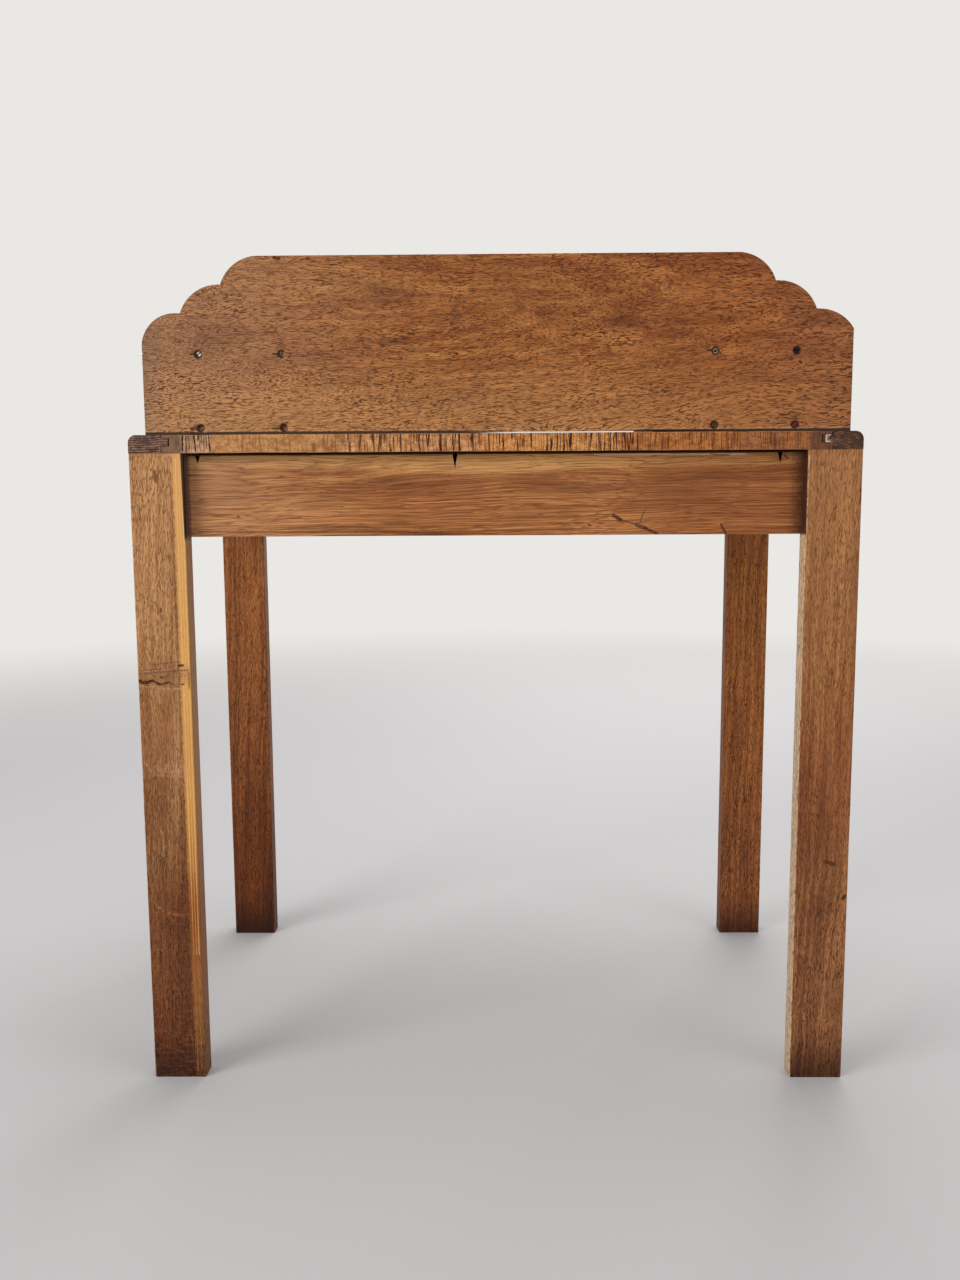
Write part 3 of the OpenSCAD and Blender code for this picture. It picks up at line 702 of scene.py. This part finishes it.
def crack_knot(shape):
    """the band of the left leg where a knot has dried: finely cut, sunk and cracked"""
    bottom, top = 0.455, 0.500
    left, right = -0.3995, -0.3415
    step = 0.0011
    near_face = -0.2385
    margin = 0.02
    for axis, start, end in ((2, bottom, top), (0, left, right)):
        for number in range(round((end - start) / step)):
            band = [f for f in shape.faces if f.calc_center_median().y < near_face]
            band = [f for f in band if bottom - margin < f.calc_center_median().z < top + margin]
            edges = list(dict.fromkeys(edge for face in band for edge in face.edges))
            verts = list(dict.fromkeys(vert for face in band for vert in face.verts))
            cut_across(shape, axis, start + step * number, band + edges + verts)
    for vert in shape.verts:
        x, y, z = vert.co * mm_per_m
        if y > -239.0 or not 455.5 < z < 499.5:
            continue
        # the crack starts at the leg's outer side, and narrows and sinks as it runs in
        across = x + 401.0
        course = 469.6 - across * 0.1 + 2.4 * noise.noise(Vector((x * 0.16, 3.0, 0.0)))
        width = 1.5 - across * 0.016
        crack = max(0.0, 1.0 - abs(z - course) / width) * (2.4 - across * 0.032)
        # round it the face is rippled, most at the knot's middle
        hump = max(0.0, 1.0 - ((z - 476.0) / 15.0) ** 2)
        ripple = hump * (0.25 + 0.5 * noise.noise(Vector((x * 0.12, z * 0.45, 1.0))))
        vert.co.y += (max(0.0, crack) + max(0.0, ripple)) / mm_per_m


worked("oak_leg_back_left", "leg_back_left", near_left.close(), 0.0009, [(2, 0.02)],
       after=crack_knot)
for name, oak in (("back_right", near_right), ("front_left", far_left), ("front_right", far_right)):
    worked(f"oak_leg_{name}", f"leg_{name}", oak.close(), 0.0009, [(2, 0.02)])


# The four rails are oak boards on edge. The long ones end in housings in the legs and show a run
# of gold and red-brown streaks; the side ones are tenoned into the legs.
def rail_finish(name, grain, centre, pith_far, pith_turn, shift):
    """long straight grain in narrow streaks"""
    tones = [(212, 148, 88), (176, 112, 63), (138, 79, 41), (94, 48, 20)]
    return Oak(name, grain, tones, centre, pith_far, pith_turn, ring=5.0, wander=22.0, ripple=1.2,
               lean=(0.02, 0.012), streak=1.6, vessel=(120, 1.6), strokes=0.6, dashes=0.16, glints=0.34,
               late=0.1, rays=0.05, shift=shift)


def runs_along(edge, middle):
    """whether an arris runs along the rail's length"""
    return abs(edge.verts[0].co.x - edge.verts[1].co.x) > 0.006


rear_rail = rail_finish("oak rail back", "x", (675, -213), 420, 8, 0.4)
rear_rail.face = -223
gold = rear_rail.times(rear_rail.patch((-10, 700), (190, 200, 60), 0, 1), 8)
gold = rear_rail.plus(rear_rail.wavy("Z", 4), gold)
rear_rail.wash(rear_rail.rise(gold, 702, 709), 0.8, (222, 164, 100))
# painted light and shade: the rail is paler at its left end and darker to the right, as the window light
# falls
rear_rail.stain(rear_rail.rise("X", 60, 240), (228, 214, 208))
painted_light_fade = rear_rail.times(rear_rail.rise("X", -330, -120), 0.3)
rear_rail.mix(calc(rear_rail.tree, "SUBTRACT", 0.3, painted_light_fade), srgb(194, 150, 116))
for centre, reach, tone, share in (
    ((-120, 688), (120, 16), (112, 60, 34), 0.5), ((90, 682), (110, 13), (112, 62, 38), 0.45),
    ((230, 690), (110, 22), (116, 66, 38), 0.45), ((-300, 690), (46, 40), (176, 126, 84), 0.45),
    ((-215, 662), (90, 12), (186, 134, 84), 0.4), ((-180, 640), (130, 5), (92, 48, 28), 0.5),
    ((50, 655), (120, 10), (176, 120, 70), 0.35), ((-70, 632), (70, 3.2), (62, 32, 20), 0.7),
    ((210, 660), (150, 8), (164, 104, 62), 0.35), ((-190, 700), (70, 6), (128, 70, 42), 0.5),
):
    rear_rail.wash(rear_rail.patch(centre, (reach[0], 60, reach[1]), 0.25, 0.95), share, tone)
rear_rail.marks([
    ((131.5, 651.4), (139.5, 646.8), 2.6, 0.9), ((139, 647), (157, 641.2), 0.9, 0.8),
    ((158, 640.4), (167, 637.2), 2.8, 0.75), ((167, 637), (180, 631), 2.2, 0.85),
    ((161, 644), (165.5, 655), 1, 0.6), ((165.5, 655), (168, 660), 0.8, 0.4),
    ((250.6, 641), (256, 631), 1.6, 0.85), ((318.5, 716), (322.5, 713.5), 1.4, 0.8),
    ((-285.3, 652), (-284.4, 652.4), 1.2, 0.8), ((104, 641.5), (106.5, 640.5), 1.4, 0.7),
    ((44, 663), (50, 661.5), 1.2, 0.4), ((-170, 662.6), (-168.5, 662.6), 1, 0.7),
    ((-330, 635.6), (-60, 634), 1, 0.6), ((-60, 634), (120, 637.5), 0.9, 0.5),
], (60, 30, 18), deep=0.6, ragged=0.5)
# painted shade darkens the rail beside the legs, inside the pockets and along its top under the gap
rear_rail.wash(rear_rail.rise(rear_rail.wavy("X", 16), 322, 341), 0.8, (48, 27, 20))
rear_rail.wash(rear_rail.fall("X", leg_edge + 1.6, leg_edge + 3.2), 0.6, (88, 60, 52))
# painted highlight: a pale line along the lit top arris
rear_rail.scratch((110, 718.5), (276, 718.1), 1.1, (234, 194, 152), 0.85, ragged=0.3)
pocket_inside = rear_rail.times(rear_rail.rise("Y", -222.7, -222), rear_rail.rise("Z", 690, 698))
rear_rail.wash(pocket_inside, 0.9, painted_shade_tone)
rear_rail.wash(rear_rail.rise("Z", 718.9, 719.6), 0.9, painted_shade_tone)
rear_rail.wear(0.35, (196, 152, 108))
worked("oak_rail_back", "rail_back", rear_rail.close(), 0.0008, [(0, 0.03)], only=runs_along)

front_rail = rail_finish("oak rail front", "x", (675, 213), 520, 172, 7.7).wear(0.3).close()
worked("oak_rail_front", "rail_front", front_rail, 0.0008, [(0, 0.03)], only=runs_along)
side_rails = rail_finish("oak side rails", "y", (0, 675), 700, 80, 3.3).wear(0.3).close()
for side in ("left", "right"):
    worked(f"oak_rail_{side}", f"rail_{side}", side_rails, 0.0008, [(1, 0.03)])

# Glue blocks stiffen the corners between the rails. They are offcuts of a plain pale wood,
# rubbed into place with glue and never finished.
block_tones = [(198, 164, 118), (182, 146, 100), (158, 120, 78), (128, 90, 56)]
block_wood = Oak("plain corner wood", "z", block_tones, (0, 0), 300, 40, ring=4, strokes=0.15,
                 dashes=0.1, rays=0).close()
for corner in ("back_left", "back_right", "front_left", "front_right"):
    worked(f"glue_block_{corner}", f"corner_block_{corner}", block_wood, 0.0008)

# The top is glued up from six oak boards that run front to back. Their raw end grain makes the rear
# edge, with its rays and checks as dark upright lines that differ from board to board.
top_middle = 732


def board_finish(number, tones, end_tones, checks, shift):
    """raw end grain over a plain face. checks holds, for each run of dark upright lines, their
    pitch, how many of them show, how dark they are, and where the run starts and ends"""
    low, high = [corner * mm_per_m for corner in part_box(f"top_board_{number}")]
    oak = Oak(f"oak top board {number}", "y", tones, ((low.x + high.x) / 2, top_middle),
              160.0 + 60.0 * number, 90.0 - 7.0 * number, ring=3.4, wander=18.0, vessel=(9.0, 1.8),
              strokes=0.7, rays=0.25, shift=shift)
    tree = oak.tree
    facing = wire(tree, "SeparateXYZ", {0: oak.coords["Normal"]}).outputs["Y"]
    end = span(tree, calc(tree, "ABSOLUTE", facing), 0.5, 0.7)
    oak.cut_pores()
    mottle = cloud(tree, oak.place, (0.12, 0.12, 0.2), 4.0, 0.65)[0]
    pale, middle, dark = [srgb(*tone) for tone in end_tones]
    sawn = tint(tree, span(tree, mottle, 0.36, 0.64), middle, pale)
    flecks = span(tree, cloud(tree, oak.place, (0.8, 0.8, 0.8), 1.0)[0], 0.52, 0.64)
    sawn = tint(tree, times(tree, flecks, 0.5), sawn, dark)
    run_in = 3.0
    for pitch, cover, share, start, finish in checks:
        swing = sway(tree, oak.place, (0.06, 0.06, 0.09), (2.4, 0.0, 0.0))
        field = cloud(tree, swing, (1.0 / pitch, 0.0, 0.012), 1.0, 0.5)[0]
        lines = calc(tree, "ABSOLUTE", calc(tree, "SUBTRACT", field, 0.5))
        lines = flip(tree, span(tree, lines, 0.012, 0.055))
        broken = cloud(tree, oak.place, (0.3, 0.0, 0.03), 1.0)[0]
        lines = times(tree, lines, span(tree, broken, 0.62 - 0.34 * cover, 0.72 - 0.34 * cover))
        begun = oak.rise("X", start - run_in, start + run_in)
        ended = oak.fall("X", finish - run_in, finish + run_in)
        lines = times(tree, lines, times(tree, begun, ended))
        sawn = tint(tree, times(tree, lines, share), sawn, dark)
        oak.sink(times(tree, lines, end), 1.4)
    oak.mix(end, sawn)
    return oak


board_looks = [
    ([(188, 140, 102), (160, 112, 78), (128, 84, 54), (84, 46, 22)],
     [(214, 168, 128), (178, 130, 94), (40, 18, 8)],
     [(2.4, 0.9, 0.5, -348, -309)]),
    ([(200, 148, 96), (174, 118, 72), (144, 90, 50), (98, 54, 24)],
     [(208, 152, 98), (168, 112, 64), (104, 58, 24)],
     [(5, 0.5, 0.6, -309, -162)]),
    ([(194, 142, 92), (168, 112, 68), (136, 84, 46), (92, 50, 22)],
     [(222, 162, 106), (178, 116, 68), (60, 24, 4)],
     [(4, 0.7, 0.9, -162, -92), (3.2, 0.95, 1, -92, -16)]),
    ([(190, 136, 88), (162, 104, 62), (130, 78, 40), (88, 46, 18)],
     [(232, 164, 96), (186, 118, 60), (62, 25, 4)],
     [(3, 1.05, 1, -16, 136)]),
    ([(178, 124, 76), (152, 94, 54), (122, 68, 34), (82, 42, 16)],
     [(206, 130, 66), (160, 94, 44), (66, 28, 8)],
     [(3.2, 1, 1, 136, 168), (2.8, 0.85, 0.85, 168, 269)]),
    ([(170, 116, 70), (144, 88, 50), (116, 66, 34), (78, 40, 16)],
     [(182, 114, 64), (140, 84, 46), (66, 30, 10)],
     [(2.8, 0.8, 0.7, 269, 363)]),
]
underside = Oak("unfinished oak underside", "y", [(150, 112, 80), (128, 92, 64), (104, 70, 46), (70, 42, 24)],
                (0, top_middle), 300, 70, wander=18, shift=14)
# painted shade: the underside behind the rear rail is washed near black, so that the gap over the rail shows
# dark
painted_gap_shade = underside.times(underside.fall("Y", -150, 60), underside.rise("Y", -239, -232))
underside.wash(painted_gap_shade, 0.96, (10, 6, 4))
underside.close(0)
deep_checks = [
    ((-339.6, 743), (-340.2, 725), 1.3, 1), ((-335.8, 743), (-336, 722), 1.2, 0.75),
    ((-333.4, 743), (-332, 728), 0.8, 0.5), ((-327.8, 743), (-326.5, 734.2), 1.4, 0.95),
    ((-326.5, 734.2), (-325.7, 724.4), 1.1, 0.9), ((-322.2, 743), (-322.6, 736.4), 1.3, 0.9),
    ((-318.8, 743), (-318.6, 733.6), 0.9, 0.65), ((-316.2, 735), (-316, 726.4), 0.7, 0.4),
    ((-313.8, 743), (-313.6, 727), 0.8, 0.65), ((-311.2, 741.4), (-310.4, 732), 1, 0.7),
    ((-310.4, 732), (-309.8, 724.2), 1.3, 0.95),
]


def rear_arris(edge, middle):
    """whether an arris runs along the desk's rear edge"""
    return abs(edge.verts[0].co.x - edge.verts[1].co.x) > 0.001 and middle.y < -0.2399


for number, (tones, end_tones, checks) in enumerate(board_looks, start=1):
    oak = board_finish(number, tones, end_tones, checks, number * 1.7)
    if number in (1, len(board_looks)):
        outward = oak.wavy(calc(oak.tree, "ABSOLUTE", oak.parts["X"]), 5)
        oak.wash(oak.rise(outward, 338, 346), 0.72, (82, 54, 42))
    if number == 1:
        oak.marks(deep_checks, (52, 22, 8), deep=0.8, ragged=0.4)
    oak.wear(0.5, (206, 160, 118))
    worked(f"oak_top_board_{number}", f"top_board_{number}", oak.close(cut=False), 0.0009,
           [(1, 0.04), (0, 0.02)], under=underside.material, only=rear_arris)

# Edge strips of darker oak frame the panel on three sides. They are tongued into it, mitred at the
# sitter's corners and rounded along their upper outer edge.
strip_tones = [(156, 116, 98), (92, 63, 50), (46, 29, 22), (38, 23, 17)]
strip_left = Oak("dark oak left strip", "y", strip_tones, (-378, top_middle), 300, 92, ring=2.6,
                 wander=4, vessel=(16, 1.2), strokes=0.5, late=0.9, shift=1.1)
strip_right = Oak("dark oak right strip", "y", [(126, 88, 62), (80, 53, 37), (44, 28, 19), (36, 22, 15)],
                  (378, top_middle), 120, 78, wander=14, vessel=(16, 1.2), strokes=0.5, late=0.35,
                  shift=2.3)
strip_front = Oak("dark oak front strip", "x", strip_tones, (top_middle, 218), 260, 20, ring=2.4,
                  wander=6, vessel=(16, 1.2), strokes=0.5, late=0.5, shift=3.9)
strip_right.wash(strip_right.fall("X", 358.2, 358.8), 0.8, (66, 42, 32))
tongue_pale = strip_right.times(strip_right.rise("X", 358.2, 358.8), strip_right.fall("X", 364.6, 365.4))
strip_right.wash(tongue_pale, 0.8, (150, 110, 88))
# painted highlight: a pale rim along the strip's inner corner
strip_right.marks([
    ((359.4, 730.6), (359.4, 738), 1), ((359.4, 737.7), (364.6, 737.7), 0.9),
    ((359.4, 730.6), (363, 730.6), 0.9),
], (236, 216, 204), 0.85, ragged=0.3)
# painted shade: a dark line where the inner top corner would be chamfered and in shadow
strip_right.marks([
    ((363.6, 734), (365.8, 739.6), 1.5), ((365.8, 739.6), (370, 742.2), 1.5),
], (30, 19, 14), 0.9, ragged=0.3)
for oak in (strip_left, strip_right, strip_front):
    oak.wear(0.3, (158, 130, 114))
for side, oak in (("left", strip_left), ("right", strip_right)):
    worked(f"oak_strip_{side}", f"edge_strip_{side}", oak.close(), 0.0005, [(1, 0.03)])
worked("oak_strip_front", "edge_strip_front", strip_front.close(), 0.0005, [(0, 0.03)])

# The backboard is one wide oak board with three stepped lobes at each end. It stands on the rear
# edge of the top and is screwed from behind to the drawer cases.
back_screws = [(x, z) for x in (-319.5, -229, 238, 325) for z in (749, 827.5)]
back = Oak("oak backboard", "x", [(192, 126, 68), (162, 99, 50), (134, 73, 33), (74, 34, 11)], (866, -231),
           70, 90, ring=4, ring_show=0.16, wander=36, ripple=5, lean=(0.02, 0.09), streak=5,
           vessel=(16, 1.2), strokes=0.85, dashes=0.34, glints=0.5, late=0.2, rays=0.12, shift=0.2)
# paler to the left and darker to the right: partly the board's own tone, partly painted light from the left
back.wash(back.fall("X", -380, -40), 0.48, (196, 152, 116))
back.wash(back.rise("X", 250, 400), 0.3, (176, 132, 98))
back.wash(back.fall("Z", 760, 830), 0.46, (208, 152, 96))
back.stain(back.rise("X", -40, 380), (240, 224, 214))
for centre, reach, share in (
    ((-121, 893), (26, 18), 0.35), ((-106, 841), (34, 8), 0.4), ((-41.6, 864), (16, 9), 0.4),
    ((28, 874), (12, 8), 0.45), ((49.4, 869), (8, 10), 0.45), ((-138, 848), (14, 9), 0.35),
    ((135, 858), (30, 16), 0.35), ((-300, 846), (70, 24), 0.3), ((199, 861), (20, 8), 0.3),
    ((-239, 913), (9, 4), 0.5), ((340, 864), (36, 18), 0.3), ((-150, 800), (60, 10), 0.2),
):
    back.wash(back.patch(centre, (reach[0], 40, reach[1]), 0.7, 0.9), share, (84, 48, 30))
back.wash(back.patch((-190, 902), (110, 40, 36), 0.3, 1), 0.3, (208, 150, 88))
back.scratch((-234, 928), (-229, 927), 2.4, (70, 38, 22), 0.9, deep=0.6)
back.scratch((57.1, 750), (57.1, 745), 1.4, (70, 38, 22), 0.8)
back.scratch((328.5, 815.5), (330, 814.5), 1.6, (50, 28, 18), 0.9, deep=0.8)
for x, z in back_screws:
    back.wash(back.patch((x, z), (5.8, 20, 5.8), 0.25, 0.4), 0.7, (56, 30, 18))
for x, z, reach in ((-319.5, 749, 11), (-229, 748.6, 12), (-319.5, 828, 8), (-229, 827.5, 9),
                    (238, 828.6, 8.5)):
    back.scratch((x - reach, z - 0.4), (x, z), 1.3, (48, 25, 15), 0.85, deep=0.8, soft=0.4)
# painted shade on the rim of the right end
back.wash(back.rise("X", 376, 386), 0.3, (96, 66, 50))
back.stain(back.fall("X", -376, -350), (232, 242, 254))
# its arrises that face left get a pale painted highlight and those that face right dark painted shade;
# along its foot runs a dark line of painted shade, except where light shows, with a painted highlight above
arris = back.arris()
turned = wire(back.tree, "SeparateXYZ", {0: back.coords["Normal"]}).outputs["X"]
back.wash(back.times(arris, back.fall(turned, 0.15, 0.5)), 0.35, (206, 162, 116))
back.wash(back.times(arris, back.rise(turned, 0.15, 0.5)), 0.75, (74, 48, 34))
unlit = flip(back.tree, back.times(back.rise("X", -40, 20), back.fall("X", 148, 156)))
foot = back.plus(back.parts["Z"], back.ragged)
# painted highlight along the foot, over a line of painted shade below it
back.wash(back.fall(foot, 746, 747.4), 0.35, (212, 166, 122))
back.wash(back.times(back.fall(foot, 744.4, 745.4), unlit), 0.93, (20, 11, 7))
worked("oak_backboard", "backboard", back.close(), 0.0022, [(0, 0.025), (2, 0.025)],
       spare=[((x / mm_per_m, -0.24, z / mm_per_m), 0.009) for x, z in back_screws])

# Slotted steel wood screws hold the backboard and the rails, and slanted ones the top. They have
# lost their shine; each head's tone is partly rust and partly painted light and shade of the sunk head,
# and one head is painted bright and metallic as a highlight.
screw_look, tree = blank_look("aged screw steel")
place = in_mm(tree, wire(tree, "TexCoord").outputs)
rust = span(tree, cloud(tree, place, (0.5, 0.5, 0.5), 3)[0], 0.3, 0.55)
# painted highlight: one head is made bright and metallic
highlight_head = use_group(tree, patch_group, {
    "Place": place, "Centre": (-318.7, -240, 828), "Reach": (3.2, 6, 3.2),
})["Mask"]
rust = times(tree, rust, flip(tree, highlight_head))
steel = tint(tree, highlight_head, srgb(52, 36, 28), srgb(240, 222, 208))
# each head's tone: partly rust, partly painted light and shade of the sunk head
for x, z, reach, tone in (
    (-227.6, 827.3, 3.2, (176, 144, 120)), (-228.8, 827.6, 3, (134, 96, 72)),
    (-318.4, 748.2, 2.8, (140, 90, 56)), (-227.4, 748.4, 2.8, (142, 92, 56)),
    (238, 827.5, 3.4, (160, 136, 98)), (238, 827.5, 1.6, (30, 22, 18)), (325, 827.5, 3, (24, 18, 16)),
    (238.2, 749, 2.9, (96, 76, 44)), (325, 749, 2.9, (126, 56, 34)),
):
    head = use_group(tree, patch_group, {
        "Place": place, "Centre": (x, -240, z), "Reach": (reach, 6, reach), "Soft": 0.25,
    })["Mask"]
    steel = tint(tree, head, steel, srgb(*tone))
slot = use_group(tree, scratch_group, {
    "Place": place, "Start": (-321.6, -238.6, 826), "End": (-314.8, -238.6, 831.2), "Width": 1.3,
    "Soft": 0.3,
})["Mask"]
steel = tint(tree, slot, steel, srgb(44, 34, 28))
steel = tint(tree, times(tree, rust, 0.3), steel, srgb(48, 32, 24))
metal = times(tree, highlight_head, 0.8)
dull = calc(tree, "ADD", 0.4, times(tree, rust, 0.35))
surface = wire(tree, "BsdfPrincipled", {
    "Base Color": steel, "Metallic": metal, "Roughness": dull, "Specular IOR Level": 0.12,
})
wire(tree, "OutputMaterial", {"Surface": surface.outputs[0]})


def dress(node, look):
    """gives a turned piece its look, and leaves its shape as it is"""
    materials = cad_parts[node].data.materials
    materials.clear()
    materials.append(look)


for node in ("backboard_screws", "rail_screws", "top_screws"):
    dress(node, screw_look)

# Two drawer cases stand on the desktop against the backboard, each of four oak boards: the sides
# are let into rabbets in the top and bottom. Two small stops inside meet the closed drawer.
case_tones = [(174, 122, 76), (148, 96, 56), (122, 72, 40), (84, 46, 22)]
case_boards = Oak("oak case boards", "x", case_tones, (790, -120), 500, 20, wander=20, strokes=0.6,
                  lean=(0.01, 0.03), rays=0.2, shift=6).wear(0.3).close()
case_sides = Oak("oak case sides", "y", case_tones, (0, 790), 600, 100, wander=20, strokes=0.6,
                 lean=(0.01, 0.03), rays=0.2, shift=8).wear(0.3).close()
for side in ("left", "right"):
    for board in ("top", "bottom"):
        worked(f"oak_case_{side}_{board}", f"case_{side}_{board}", case_boards, 0.0007,
               [(0, 0.03)])
    for board in ("outer_side", "inner_side"):
        worked(f"oak_case_{side}_{board}", f"case_{side}_{board}", case_sides, 0.0006,
               [(1, 0.03)])
    worked(f"stop_blocks_{side}", f"drawer_stops_{side}", block_wood, 0.0005)

# Each case holds a small drawer: an oak front, and sides, back and bottom of plain pale wood. The
# sides lap into the front, and the bottom slides into grooves from behind.
drawer_front = Oak("oak drawer fronts", "x", [(178, 126, 78), (152, 100, 58), (126, 74, 42), (86, 48, 22)],
                   (788, -30), 420, 12, wander=22, strokes=0.6, lean=(0.03, 0.02), rays=0.25,
                   shift=11).wear(0.3).close()
drawer_tones = [(204, 172, 126), (188, 154, 108), (166, 130, 86), (136, 100, 64)]
drawer_wood = Oak("plain drawer wood", "y", drawer_tones, (0, 780), 500, 90, ring=3.6, strokes=0.15,
                  dashes=0.1, rays=0, shift=5).close()
for side in ("left", "right"):
    body = f"drawer_{side}"
    worked(f"oak_drawer_{side}_front", f"{body}_front", drawer_front, 0.0008, [(0, 0.03)],
           body=body)
    for board in ("outer_side", "inner_side", "back", "bottom"):
        worked(f"wood_drawer_{side}_{board}", f"{body}_{board}", drawer_wood, 0.0005,
               body=body)

# The knobs are turned from oak and darkened by hands. Each stands on a dowel in its drawer's front.
knob_wood = Oak("turned oak knobs", "y", [(118, 78, 48), (96, 60, 34), (74, 44, 24), (46, 24, 14)], (0, 788),
                60, 90, ring=2, strokes=0.5, rays=0.1, shift=9).close()
for side in ("left", "right"):
    dress(f"drawer_{side}_knob", knob_wood)
